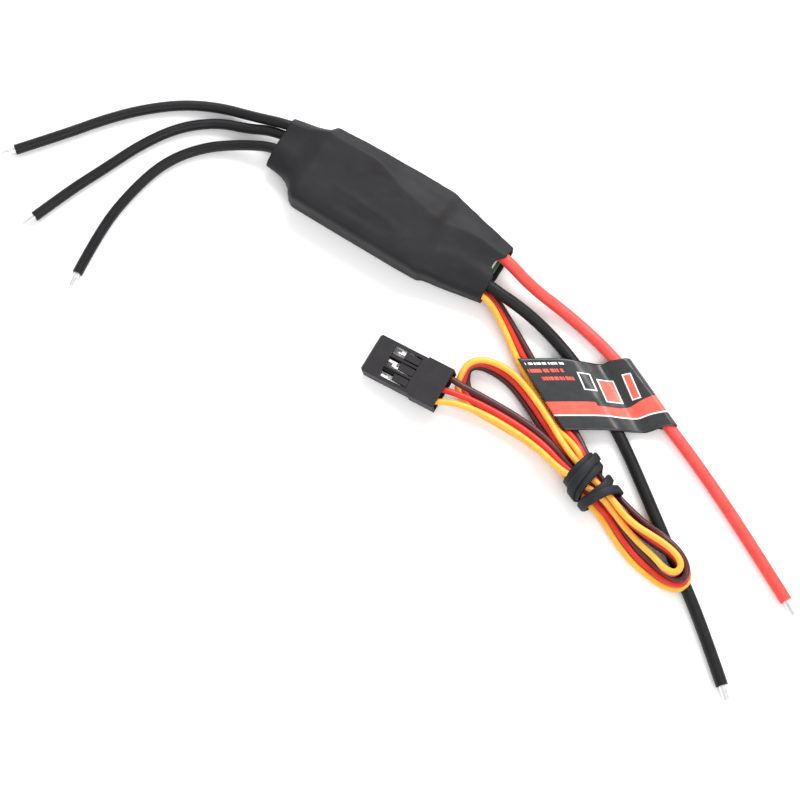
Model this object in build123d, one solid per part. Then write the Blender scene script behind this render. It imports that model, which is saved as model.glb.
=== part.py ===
from build123d import *
import math
import os

# Electronic speed controller for a small brushless motor, in millimetres.
# The origin is at the bottom centre of the sleeved body, +Z is up, and +X runs along the body
# towards the battery wires. The three motor wires leave at -X. Everything lies on the plane z = 0.

# ---- driving dimensions -------------------------------------------------------------------
SLEEVE_WALL = 0.35          # heat-shrink film
BOARD_BOTTOM = 2.0
BOARD_THICK = 1.0
BOARD_TOP = BOARD_BOTTOM + BOARD_THICK
BOARD_LEFT = -13.7
BOARD_RIGHT = 9.2
BOARD_HALF = 7.1            # half width of the board's main part
BOARD_TAB_END = 21.2        # the narrow tab that carries the battery wires

FET = (4.9, 3.9, 1.5)       # eight-pin power transistor body
FET_COLUMNS = (-6.6, -0.9, 4.8)
FET_ROW = 3.35
PLATE_THICK = 1.1
PAD_THICK = 0.5

MOTOR_WIRE = 1.8            # outer diameters of the silicone wires
BATTERY_WIRE = 2.1
SERVO_WIRE = 1.1
SERVO_PITCH = 1.2           # spacing of the three wires in the flat servo lead
MOTOR_TIP = (1.0, 2.5)      # tinned bare end: diameter and length
BATTERY_TIP = (1.2, 2.6)

PLUG_LENGTH = 14.3          # three-way servo socket housing
PLUG_THICK = 2.6
PLUG_FRONT_WIDTH = 7.1
PLUG_REAR_WIDTH = 7.6
PLUG_STEP = 9.4             # where the housing widens, from the mating face
PIN_PITCH = 2.54
PLUG_TILT = 9.0             # the stiff lead holds the wire end of the housing up
PLUG_TURN = 1.6
PLUG_ORIGIN = (11.25, -22.95, 0.0)
WINDOW_PITCH = 2.1
TONGUE = (2.85, 1.2, 0.45)  # latch tongue: length, width, thickness
TONGUE_ROOT = 8.6

# The tie's axis runs between these two points, and the bundle in it is an oval.
TIE_START = Vector(49.4, -21.25, 2.95)
TIE_END = Vector(57.6, -24.75, 2.95)
TIE_WAY = (TIE_END - TIE_START).normalized()
BUNDLE = (3.3, 2.3)
TIE_BAND = 0.6
TIE_TURNS = 4

# ---- wire routes ---------------------------------------------------------------------------
MOTOR_A = [
    (-13.4, 4.3, 3.95), (-17.6, 4.3, 3.95), (-23.0, 3.25, 3.95), (-28.6, 1.95, 2.3), (-34.6, 0.75, 0.95),
    (-40.3, -2.1, 0.92), (-45.6, -6.4, 0.92), (-50.3, -11.5, 0.92), (-54.6, -17.3, 0.92),
    (-60.4, -24.45, 0.92),
]
MOTOR_B = [
    (-13.4, 1.2, 3.95), (-16.8, 1.2, 3.95), (-20.2, 1.95, 2.9), (-24.6, 1.45, 2.4), (-28.2, -0.1, 1.5),
    (-33.6, -1.8, 0.92), (-38.8, -6.1, 0.92), (-42.6, -12.2, 0.92), (-45.4, -19.0, 0.92),
    (-48.3, -25.6, 0.92), (-50.8, -32.75, 0.92),
]
MOTOR_C = [
    (-13.4, -1.9, 3.95), (-17.2, -1.9, 3.95), (-21.8, -0.9, 3.6), (-28.0, -3.4, 1.7), (-33.5, -7.2, 0.92),
    (-37.5, -13.0, 0.92), (-39.3, -20.5, 0.92), (-39.95, -28.4, 0.92), (-38.95, -37.3, 0.92),
]
BATTERY_POSITIVE = [
    (12.0, 2.75, 4.1), (16.5, 2.75, 4.1), (21.5, 2.65, 4.1), (28.0, 0.9, 2.8), (35.8, 0.45, 1.25),
    (46.3, -1.85, 1.4), (62.5, -8.4, 1.4), (72.0, -12.6, 1.1), (82.5, -17.9, 1.1), (91.3, -22.55, 1.1),
]
BATTERY_NEGATIVE = [
    (12.0, -2.2, 4.1), (15.6, -2.2, 4.1), (21.6, -3.1, 4.1), (29.0, -3.1, 2.6), (36.2, -4.4, 1.1),
    (44.8, -7.8, 1.1), (54.2, -13.2, 1.1), (63.2, -19.8, 1.1), (71.9, -26.3, 1.1), (80.6, -32.6, 1.1),
    (89.4, -40.25, 1.1),
]
# The servo lead is a flat three-wire ribbon. Each row is the middle wire's place, the lean of the
# signal wire about it (0 = beside it on the right of travel, 90 = above it) and the wires' spacing.
SERVO_LEAD = [
    (9.2, -5.2, 3.6, 0, 1.15), (13.8, -5.0, 3.5, 10, 1.15), (18.4, -4.35, 2.9, 35, 1.15),
    (22.8, -3.93, 2.5, 45, 1.15), (28.0, -6.7, 1.65, 40, 1.15), (33.3, -10.0, 0.85, 5, 1.2),
    (39.4, -13.6, 0.65, 0, 1.2), (44.6, -16.45, 0.85, 0, 1.2), (47.7, -17.75, 2.0, 35, 1.2),
    (50.13, -19.24, 3.0, 58, 1.15),
]
SERVO_TAIL = [
    (48.5, -23.1, 3.85, -212, 1.1), (44.2, -21.75, 3.85, -192, 1.2), (38.6, -21.05, 3.6, -180, 1.2),
    (32.0, -21.2, 3.6, -180, 1.25), (27.0, -21.9, 3.75, -180, 1.65),
]
INNER_LOOP = [
    (58.07, -23.65, 3.5, 90, 1.2), (60.9, -25.0, 3.6, 90, 1.2), (64.1, -25.95, 3.7, 90, 1.2),
    (67.3, -26.3, 3.8, 90, 1.2), (69.9, -26.3, 4.3, 90, 1.2), (71.9, -26.75, 4.6, 90, 1.2),
    (72.8, -27.8, 4.75, 90, 1.2), (72.1, -28.85, 4.75, 90, 1.2), (70.4, -28.9, 4.4, 90, 1.2),
    (68.6, -28.6, 4.05, 90, 1.2), (66.4, -28.0, 3.9, 90, 1.2), (63.8, -27.1, 3.8, 90, 1.2),
    (60.9, -26.1, 3.65, 90, 1.2), (57.6, -24.75, 3.45, 90, 1.2),
]
OUTER_LOOP = [
    (58.27, -23.19, 1.0, 0, 1.2), (61.5, -24.2, 0.85, -8, 1.2), (65.0, -24.55, 1.72, -50, 1.2),
    (67.0, -24.6, 2.55, -70, 1.2), (68.7, -24.85, 3.8, -84, 1.2), (71.4, -25.25, 4.0, -88, 1.2),
    (73.4, -26.15, 4.05, -90, 1.2), (74.8, -27.6, 4.05, -92, 1.2), (75.15, -28.95, 3.95, -112, 1.2),
    (74.3, -30.3, 2.2, -174, 1.2), (72.0, -30.9, 1.75, -180, 1.2), (69.1, -30.7, 1.25, -180, 1.2),
    (66.0, -30.0, 1.0, -180, 1.2), (62.8, -29.0, 1.0, -180, 1.2), (60.1, -28.2, 1.2, -180, 1.2),
    (56.7, -26.86, 2.2, -152, 1.0),
]
UPPER_LOOP = [
    (48.75, -22.71, 1.65, 155, 1.0), (45.9, -21.5, 1.1, 175, 1.2), (42.5, -20.8, 0.75, 180, 1.2),
    (37.4, -20.7, 0.62, 180, 1.2), (32.2, -20.85, 0.62, 180, 1.2), (28.8, -20.9, 0.75, 168, 1.2),
    (27.1, -19.9, 1.15, 148, 1.2), (26.25, -17.9, 1.6, 112, 1.2), (26.1, -16.1, 1.78, 98, 1.2),
    (27.4, -14.75, 1.8, 105, 1.2), (30.2, -14.1, 1.75, 120, 1.2), (33.8, -14.35, 1.75, 125, 1.2),
    (38.2, -16.1, 1.85, 130, 1.2), (42.6, -18.35, 2.15, 130, 1.2), (46.0, -19.9, 2.5, 108, 1.2),
    (49.53, -20.9, 2.85, 80, 1.15),
]

# The label is a film folded round the positive wire. Its profile lies in a plane along FLAG_RUN and is
# carried along the wire by FLAG_SIDE; each profile point is a distance from the wire and a height.
FLAG_CORNER = (47.25, -2.15)                          # where the film's end crosses the positive wire
FLAG_RUN = Vector(-0.848, -0.53, 0)
FLAG_SIDE = Vector(0.894, -0.447, 0) * 13.5
FLAG_PROFILE = [
    (0.0, 2.64), (1.6, 2.25), (3.5, 1.55), (5.6, 2.0), (8.3, 2.42), (11.5, 2.38), (14.5, 2.25), (17.0, 2.15),
]
FILM = 0.3

os.makedirs("parts", exist_ok=True)


# ---- helpers -------------------------------------------------------------------------------
def write(node, solids):
    """Writes one named node, which may hold several separate solids."""
    shapes = list(solids) if isinstance(solids, (list, tuple)) else [solids]
    shape = shapes[0] if len(shapes) == 1 else Compound(children=shapes)
    export_step(shape, os.path.join("parts", node + ".step"))


def block(low, high):
    """A box between two opposite corners."""
    size = [b - a for a, b in zip(low, high)]
    centre = [(a + b) / 2 for a, b in zip(low, high)]
    return Pos(*centre) * Box(*size)


def slab(centre, size, bottom):
    """A box of size x, y, z that stands on the height bottom at centre x, y."""
    return Pos(centre[0], centre[1], bottom + size[2] / 2) * Box(*size)


def bend_radii(points):
    """One radius for each inner point: as large as its two runs allow."""
    places = [Vector(*p) for p in points]
    radii = []
    for before, here, after in zip(places, places[1:], places[2:]):
        turn = math.radians((here - before).get_angle(after - here))
        shorter = min((here - before).length, (after - here).length)
        radii.append(0.45 * shorter / math.tan(turn / 2))
    return radii


def wire_path(points):
    """Straight runs joined by tangent arcs."""
    return FilletPolyline(*[Vector(*p) for p in points], radius=bend_radii(points))


def tube(points, diameter):
    path = wire_path(points)
    start = Plane(origin=path @ 0, z_dir=path % 0)
    return sweep(start * Circle(diameter / 2), path=path)


def wire(name, points, diameter):
    """A round wire, with its length, least bend radius and volume share printed."""
    solid = tube(points, diameter)
    length = wire_path(points).length
    share = solid.volume / (math.pi * diameter**2 / 4 * length)
    least = min(bend_radii(points))
    print(name, "length", round(length, 1), "least radius", round(least, 1), "volume", round(share, 4))
    return solid


def tinned_tip(points, size):
    """The bare tinned end that follows a wire's last run."""
    end = Vector(*points[-1])
    way = (end - Vector(*points[-2])).normalized()
    diameter, length = size
    core = extrude(Plane(origin=end, z_dir=way) * Circle(diameter / 2), length)
    rims = core.edges().filter_by(GeomType.CIRCLE)
    return chamfer(rims.sort_by_distance(end + way * length)[0], 0.12)


def ribbon_wires(rows):
    """The signal, power and ground wires' points from the ribbon's rows."""
    signal, power, ground = [], [], []
    for i, (x, y, z, lean, pitch) in enumerate(rows):
        before = rows[max(i - 1, 0)]
        after = rows[min(i + 1, len(rows) - 1)]
        way = Vector(after[0] - before[0], after[1] - before[1], 0).normalized()
        angle = math.radians(lean)
        side = Vector(way.Y, -way.X, 0) * math.cos(angle) + Vector(0, 0, 1) * math.sin(angle)
        middle = Vector(x, y, z)
        signal.append(tuple(middle + side * pitch))
        power.append(tuple(middle))
        ground.append(tuple(middle - side * pitch))
    return signal, power, ground


def ribbon_band(rows):
    """A stretch of ribbon between the tie's ends, as one faceted band with end faces square to the tie."""
    rings = []
    for i, (x, y, z, lean, pitch) in enumerate(rows):
        before = Vector(*rows[max(i - 1, 0)][:3])
        after = Vector(*rows[min(i + 1, len(rows) - 1)][:3])
        way = (after - before).normalized()
        if i in (0, len(rows) - 1):
            way = TIE_WAY if way.dot(TIE_WAY) > 0 else -TIE_WAY
        flat = Vector(way.Y, -way.X, 0).normalized()
        angle = math.radians(lean)
        side = flat * math.cos(angle) + flat.cross(way) * math.sin(angle)
        half_width = side * (pitch + SERVO_WIRE / 2)
        half_thick = side.cross(way) * (SERVO_WIRE / 2)
        middle = Vector(x, y, z)
        corners = ((1, 1), (-1, 1), (-1, -1), (1, -1))
        rings.append([middle + half_width * a + half_thick * b for a, b in corners])
    corners_of_faces = [rings[0], rings[-1]]
    for near, far in zip(rings, rings[1:]):
        for k in range(4):
            n = (k + 1) % 4
            corners_of_faces.append([near[k], near[n], far[n]])
            corners_of_faces.append([near[k], far[n], far[k]])
    faces = [Face(Wire.make_polygon(corners)) for corners in corners_of_faces]
    return Solid(Shell(faces))


def sleeve_section(x, y_low, y_high, z_low, z_high, inset, corner):
    """A rounded rectangle across the body at x."""
    width = y_high - y_low - 2 * inset
    height = z_high - z_low - 2 * inset
    place = Plane(origin=(x, (y_low + y_high) / 2, (z_low + z_high) / 2), x_dir=(0, 1, 0), z_dir=(1, 0, 0))
    return place * RectangleRounded(width, height, corner)


# ---- heat-shrink sleeve --------------------------------------------------------------------
# Each section is x, the two sides in y, and the bottom and top in z. The middle of the body sags a
# little below z = 0 and is then pressed flat there, which is the face it rests on.
SLEEVE_SECTIONS = [
    (-21.9, -4.5, 5.6, 1.2, 5.4), (-15.9, -7.3, 7.0, 0.3, 6.0), (-14.2, -8.05, 7.7, -0.06, 6.5),
    (9.4, -8.05, 8.05, -0.06, 6.5), (21.9, -5.75, 5.0, 0.6, 5.6),
]


def heatshrink_sleeve():
    outer = loft([sleeve_section(*row, 0.0, 1.2) for row in SLEEVE_SECTIONS], ruled=True)
    inner = loft([sleeve_section(*row, SLEEVE_WALL, 0.85) for row in SLEEVE_SECTIONS], ruled=True)
    return outer - inner - block((-30, -12, -2), (30, 12, 0))


# ---- circuit board and what is soldered to it ----------------------------------------------
def circuit_board():
    outline = [
        (BOARD_LEFT, -BOARD_HALF), (BOARD_RIGHT, -BOARD_HALF), (BOARD_RIGHT, -3.2), (13.2, -3.2),
        (14.6, -1.9), (BOARD_TAB_END, -1.9), (BOARD_TAB_END, 3.9), (12.6, 4.9), (BOARD_RIGHT, BOARD_HALF),
        (BOARD_LEFT, BOARD_HALF),
    ]
    face = make_face(Polyline(*outline, close=True))
    return Pos(0, 0, BOARD_BOTTOM) * extrude(face, BOARD_THICK)


def power_transistor(x, y):
    length, width, height = FET
    body = chamfer(slab((x, y), FET, BOARD_TOP).edges().group_by(Axis.Z)[-1], 0.15)
    for i in range(4):
        for side in (-1, 1):
            lead = (x + (i - 1.5) * 1.27, y + side * (width / 2 + 0.25))
            body += slab(lead, (0.42, 0.7, 0.22), BOARD_TOP)
    return body


def transistor_row(side):
    return [power_transistor(x, side * FET_ROW) for x in FET_COLUMNS]


def chip(x, y, size, top_side=False):
    """A plain moulded part, above the board or hanging under it."""
    bottom = BOARD_TOP if top_side else BOARD_BOTTOM - size[2]
    return slab((x, y), size, bottom)


def microcontroller():
    body = chip(-1.0, 0.0, (5.0, 5.0, 0.9))
    for i in range(8):
        for side in (-1, 1):
            offset = (i - 3.5) * 0.55
            body += chip(-1.0 + offset, side * 2.55, (0.25, 0.3, 0.2))
            body += chip(-1.0 + side * 2.55, offset, (0.3, 0.25, 0.2))
    return body


def bec_regulators():
    regulators = []
    for y in (-3.9, 3.9):
        body = chip(-9.6, y, (4.0, 4.4, 1.45))
        body += chip(-7.3, y, (0.6, 3.0, 0.3))
        for i in (-1, 0, 1):
            body += chip(-11.9, y + i * 1.5, (0.7, 0.5, 0.25))
        regulators.append(body)
    return regulators


def gate_transistors():
    transistors = []
    for x in (3.4, 6.3):
        for y in (-5.0, 0.0, 5.0):
            body = chip(x, y, (1.3, 2.9, 1.0))
            body += chip(x + 0.85, y, (0.4, 0.4, 0.15))
            for side in (-1, 1):
                body += chip(x - 0.85, y + side * 0.95, (0.4, 0.4, 0.15))
            transistors.append(body)
    return transistors


def input_capacitors():
    return [chip(x, 0.35, (3.2, 2.3, 1.9), top_side=True) for x in (14.6, 18.6)]


def chip_resistors():
    places = [(-5.2, y) for y in (-5.6, -4.2, 4.2, 5.6)] + [(0.0, y) for y in (-5.6, -4.2, 4.2, 5.6)]
    places += [(-12.3, y) for y in (-0.9, 0.9)]
    return [chip(x, y, (1.6, 0.8, 0.45)) for x, y in places]


def chip_capacitors():
    places = [(-2.7, y) for y in (-5.6, -4.2, 4.2, 5.6)] + [(8.3, y) for y in (-2.5, 0.0, 2.5)]
    return [chip(x, y, (0.8, 1.1, 0.8)) for x, y in places]


def motor_solder_joints():
    return [solder_joint(p[0][0], p[0][1], -1, 2.4, 1.75) for p in (MOTOR_A, MOTOR_B, MOTOR_C)]


def battery_solder_joints():
    return [solder_joint(p[0][0], p[0][1], 1, 2.4, 1.85) for p in (BATTERY_POSITIVE, BATTERY_NEGATIVE)]


def servo_solder_joints():
    joints = []
    for points in ribbon_wires(SERVO_LEAD):
        joints.append(solder_joint(points[0][0], points[0][1], 1, 1.0, 1.2, 1.0))
    return joints


def solder_joint(x, y, way, width, height, length=2.3):
    """A mound of solder on its pad, whose flat end meets the wire that leaves along way in X."""
    mound = slab((x - way * length / 2, y), (length, width, height), BOARD_TOP)
    far = mound.faces().sort_by(Axis.X)[0 if way > 0 else -1]
    top = mound.faces().sort_by(Axis.Z)[-1]
    rounded = [e for e in top.edges() if abs(e.center().X - x) > 0.01]
    kept = [e for e in rounded if e.center().X == far.center().X or e.length > width * 0.9]
    return chamfer(kept, min(width, height) * 0.3)


def thermal_pad():
    return block((-9.2, -5.6, BOARD_TOP + FET[2]), (7.6, 5.4, BOARD_TOP + FET[2] + PAD_THICK))


def heatsink_plate():
    bottom = BOARD_TOP + FET[2] + PAD_THICK
    outline = [(-13.2, -6.4), (7.6, -6.4), (7.6, 1.7), (4.9, 2.0), (0.4, 2.9), (-6.6, 5.1), (-13.2, 5.0)]
    plate = extrude(Pos(0, 0, bottom) * make_face(Polyline(*outline, close=True)), PLATE_THICK)
    return fillet(plate.edges().filter_by(Axis.Z), 0.5)


# ---- servo connector, in its own frame: x from the mating face to the wire end --------------
def plug_plane():
    tilt, turn = math.radians(PLUG_TILT), math.radians(PLUG_TURN)
    along = (math.cos(tilt) * math.cos(turn), math.cos(tilt) * math.sin(turn), math.sin(tilt))
    up = (-math.sin(tilt) * math.cos(turn), -math.sin(tilt) * math.sin(turn), math.cos(tilt))
    return Plane(origin=PLUG_ORIGIN, x_dir=along, z_dir=up)


PLUG = plug_plane()
PIN_PLACES = (-PIN_PITCH, 0.0, PIN_PITCH)             # signal, power, ground
WINDOW_PLACES = (-WINDOW_PITCH, 0.0, WINDOW_PITCH)
CAVITY = (0.9, 11.8, 0.35, 2.25)                      # start, end, floor and roof of each contact bay
CRIMP_END = 11.6
WIRE_AXIS = 1.3                                       # height of the contacts in the housing


def connector_housing():
    front = PLUG_FRONT_WIDTH / 2
    rear = PLUG_REAR_WIDTH / 2
    body = block((0, -front, 0), (PLUG_STEP, front, PLUG_THICK))
    body = chamfer(body.faces().sort_by(Axis.X)[0].edges(), 0.35)
    body += block((PLUG_STEP, -rear, 0), (PLUG_LENGTH, rear, PLUG_THICK))
    start, end, floor, roof = CAVITY
    for y in PIN_PLACES:
        body -= block((start, y - 0.95, floor), (end, y + 0.95, roof))
        body -= block((-1, y - 0.42, WIRE_AXIS - 0.42), (start + 0.1, y + 0.42, WIRE_AXIS + 0.42))
    body -= block((end, -3.45, floor), (PLUG_LENGTH + 1, 3.45, roof))
    for y in WINDOW_PLACES:
        body -= block((3.4, y - 0.85, roof - 0.1), (TONGUE_ROOT, y + 0.85, PLUG_THICK + 1))
    return PLUG.location * body


def latch_tongue(y):
    length, width, thick = TONGUE
    end = TONGUE_ROOT - 0.05
    low = PLUG_THICK - thick
    body = block((end - length, y - width / 2, low), (end, y + width / 2, PLUG_THICK))
    body = chamfer(body.edges().filter_by(Axis.Y).group_by(Axis.X)[0].sort_by(Axis.Z)[0:1], 0.2)
    return PLUG.location * body


def crimp_contact(y):
    """A folded socket box, a narrow neck and the crimped barrel that holds the wire."""
    box = block((1.1, y - 0.8, WIRE_AXIS - 0.8), (6.9, y + 0.8, WIRE_AXIS + 0.75))
    box -= block((0.5, y - 0.4, WIRE_AXIS - 0.4), (6.0, y + 0.4, WIRE_AXIS + 0.4))
    neck = block((6.9, y - 0.5, WIRE_AXIS - 0.8), (9.4, y + 0.5, WIRE_AXIS - 0.45))
    circle = Plane(origin=(9.1, y, WIRE_AXIS), z_dir=(1, 0, 0)) * Circle(0.75)
    barrel = extrude(circle, CRIMP_END - 9.1)
    return PLUG.location * (box + neck + barrel)


def tail_points():
    """The tail's three routes, each ending square on its contact's crimp."""
    routes = ribbon_wires(SERVO_TAIL)
    for route, y in zip(routes, PIN_PLACES):
        route.append(tuple(PLUG.from_local_coords(Vector(CRIMP_END + 1.9, y, WIRE_AXIS))))
        route.append(tuple(PLUG.from_local_coords(Vector(CRIMP_END, y, WIRE_AXIS))))
    return routes


# ---- folded lead, tie and label -------------------------------------------------------------
def oval_column(start, end, half_width, half_height):
    way = end - start
    place = Plane(origin=start, x_dir=Vector(way.Y, -way.X, 0), z_dir=way)
    return extrude(place * Ellipse(half_width, half_height), way.length)


def servo_lead_loops():
    """The oval bundle that the tie holds and the three folded loops that leave it."""
    bundle = oval_column(TIE_START, TIE_END, *BUNDLE)
    return [bundle] + [ribbon_band(rows) for rows in (INNER_LOOP, OUTER_LOOP, UPPER_LOOP)]


def twist_tie():
    way = TIE_WAY
    start, end = TIE_START + way * 0.5, TIE_END - way * 0.4
    inner = (BUNDLE[0] + 0.05, BUNDLE[1] + 0.05)
    tie = oval_column(start, end, inner[0] + TIE_BAND * 0.5, inner[1] + TIE_BAND * 0.5)
    step = (end - start).length / TIE_TURNS
    for i in range(TIE_TURNS):
        turn_start = start + way * (step * i)
        turn_end = turn_start + way * (step * 0.82)
        tie += oval_column(turn_start, turn_end, inner[0] + TIE_BAND, inner[1] + TIE_BAND)
    return tie - oval_column(start - way, end + way, *inner)


def label_flag():
    """A folded film label: a gently waved flag and the loop of film round the positive wire."""
    upright = Plane(origin=(*FLAG_CORNER, 0), x_dir=FLAG_RUN, z_dir=FLAG_RUN.cross(Vector(0, 0, 1)))
    top = [(s, z + FILM / 2) for s, z in FLAG_PROFILE]
    under = [(s, z - FILM / 2) for s, z in reversed(FLAG_PROFILE)]
    edges = [Spline(*top), Line(top[-1], under[0]), Spline(*under), Line(under[-1], top[0])]
    flag = extrude(upright * make_face(edges), FLAG_SIDE.length, dir=FLAG_SIDE.normalized())
    start, end = Vector(*BATTERY_POSITIVE[5]), Vector(*BATTERY_POSITIVE[6])
    way = (end - start).normalized()
    outer = BATTERY_WIRE / 2 + 0.05 + FILM
    wrap = oval_column(start + way * 4.9, end - way * 3.4, outer, outer)
    return wrap + flag - tube(BATTERY_POSITIVE[4:8], BATTERY_WIRE + 0.1)


# ---- write every node ------------------------------------------------------------------------
write("heatshrink_sleeve", heatshrink_sleeve())
write("circuit_board", circuit_board())
write("high_side_mosfets", transistor_row(1))
write("low_side_mosfets", transistor_row(-1))
write("microcontroller", microcontroller())
write("bec_regulators", bec_regulators())
write("gate_transistors", gate_transistors())
write("ceramic_resonator", chip(4.85, 2.5, (1.2, 1.9, 0.8)))
write("input_capacitors", input_capacitors())
write("chip_resistors", chip_resistors())
write("chip_capacitors", chip_capacitors())
write("thermal_pad", thermal_pad())
write("heatsink_plate", heatsink_plate())
write("motor_solder_joints", motor_solder_joints())
write("battery_solder_joints", battery_solder_joints())
write("servo_solder_joints", servo_solder_joints())

for letter, points in (("a", MOTOR_A), ("b", MOTOR_B), ("c", MOTOR_C)):
    write("motor_wire_" + letter, wire("motor_wire_" + letter, points, MOTOR_WIRE))
    write("motor_tip_" + letter, tinned_tip(points, MOTOR_TIP))
for pole, points in (("positive", BATTERY_POSITIVE), ("negative", BATTERY_NEGATIVE)):
    write("battery_wire_" + pole, wire("battery_wire_" + pole, points, BATTERY_WIRE))
    write("battery_tip_" + pole, tinned_tip(points, BATTERY_TIP))

USES = ("signal", "power", "ground")
for use, points in zip(USES, ribbon_wires(SERVO_LEAD)):
    write("servo_lead_" + use, wire("servo_lead_" + use, points, SERVO_WIRE))
for use, points, y in zip(USES, tail_points(), PIN_PLACES):
    write("servo_tail_" + use, wire("servo_tail_" + use, points, SERVO_WIRE))
    write("contact_" + use, crimp_contact(y))
for number, y in enumerate(WINDOW_PLACES, start=1):
    write("latch_tongue_" + str(number), latch_tongue(y))

write("servo_lead_loops", servo_lead_loops())
write("twist_tie", twist_tie())
write("label_flag", label_flag())
write("connector_housing", connector_housing())
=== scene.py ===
import math

import bpy
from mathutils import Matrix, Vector, noise


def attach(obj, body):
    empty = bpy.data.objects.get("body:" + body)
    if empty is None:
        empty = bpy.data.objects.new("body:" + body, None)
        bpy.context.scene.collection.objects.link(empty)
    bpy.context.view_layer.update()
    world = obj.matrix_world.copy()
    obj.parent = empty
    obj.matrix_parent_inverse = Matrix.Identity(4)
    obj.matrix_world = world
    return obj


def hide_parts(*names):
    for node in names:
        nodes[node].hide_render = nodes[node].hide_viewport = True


MM = 0.001

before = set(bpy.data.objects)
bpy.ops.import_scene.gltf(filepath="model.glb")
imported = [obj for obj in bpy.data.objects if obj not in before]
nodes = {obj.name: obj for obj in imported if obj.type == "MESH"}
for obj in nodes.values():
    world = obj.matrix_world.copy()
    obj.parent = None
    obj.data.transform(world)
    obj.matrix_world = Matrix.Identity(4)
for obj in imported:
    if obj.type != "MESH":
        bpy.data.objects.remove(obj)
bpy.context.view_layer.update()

# ---- camera -------------------------------------------------------------------------------
# The camera stands over the near side of the object and looks down steeply.
CAMERA_PLACE = Vector((80.92, -125.72, 434.67)) * MM
CAMERA_TARGET = Vector((19.2, -26.95, 0.0)) * MM
camera_data = bpy.data.cameras.new("camera")
camera_data.sensor_width = 36.0
camera_data.lens = 120.5
camera_data.clip_start = 0.01
camera_data.clip_end = 10.0
camera = bpy.data.objects.new("camera", camera_data)
camera.location = CAMERA_PLACE
camera.rotation_euler = (CAMERA_TARGET - CAMERA_PLACE).to_track_quat("-Z", "Y").to_euler()
bpy.context.scene.collection.objects.link(camera)
bpy.context.scene.camera = camera
bpy.context.scene.view_settings.view_transform = "Standard"

# ---- wire routes, in millimetres -------------------------------------------------------------
MOTOR_A = [
    (-13.4, 4.3, 3.95), (-17.6, 4.3, 3.95), (-23.0, 3.25, 3.95), (-28.6, 1.95, 2.3), (-34.6, 0.75, 0.95),
    (-40.3, -2.1, 0.92), (-45.6, -6.4, 0.92), (-50.3, -11.5, 0.92), (-54.6, -17.3, 0.92),
    (-60.4, -24.45, 0.92),
]
MOTOR_B = [
    (-13.4, 1.2, 3.95), (-16.8, 1.2, 3.95), (-20.2, 1.95, 2.9), (-24.6, 1.45, 2.4), (-28.2, -0.1, 1.5),
    (-33.6, -1.8, 0.92), (-38.8, -6.1, 0.92), (-42.6, -12.2, 0.92), (-45.4, -19.0, 0.92),
    (-48.3, -25.6, 0.92), (-50.8, -32.75, 0.92),
]
MOTOR_C = [
    (-13.4, -1.9, 3.95), (-17.2, -1.9, 3.95), (-21.8, -0.9, 3.6), (-28.0, -3.4, 1.7), (-33.5, -7.2, 0.92),
    (-37.5, -13.0, 0.92), (-39.3, -20.5, 0.92), (-39.95, -28.4, 0.92), (-38.95, -37.3, 0.92),
]
BATTERY_POSITIVE = [
    (12.0, 2.75, 4.1), (16.5, 2.75, 4.1), (21.5, 2.65, 4.1), (28.0, 0.9, 2.8), (35.8, 0.45, 1.25),
    (46.3, -1.85, 1.4), (62.5, -8.4, 1.4), (72.0, -12.6, 1.1), (82.5, -17.9, 1.1), (91.3, -22.55, 1.1),
]
BATTERY_NEGATIVE = [
    (12.0, -2.2, 4.1), (15.6, -2.2, 4.1), (21.6, -3.1, 4.1), (29.0, -3.1, 2.6), (36.2, -4.4, 1.1),
    (44.8, -7.8, 1.1), (54.2, -13.2, 1.1), (63.2, -19.8, 1.1), (71.9, -26.3, 1.1), (80.6, -32.6, 1.1),
    (89.4, -40.25, 1.1),
]
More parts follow.
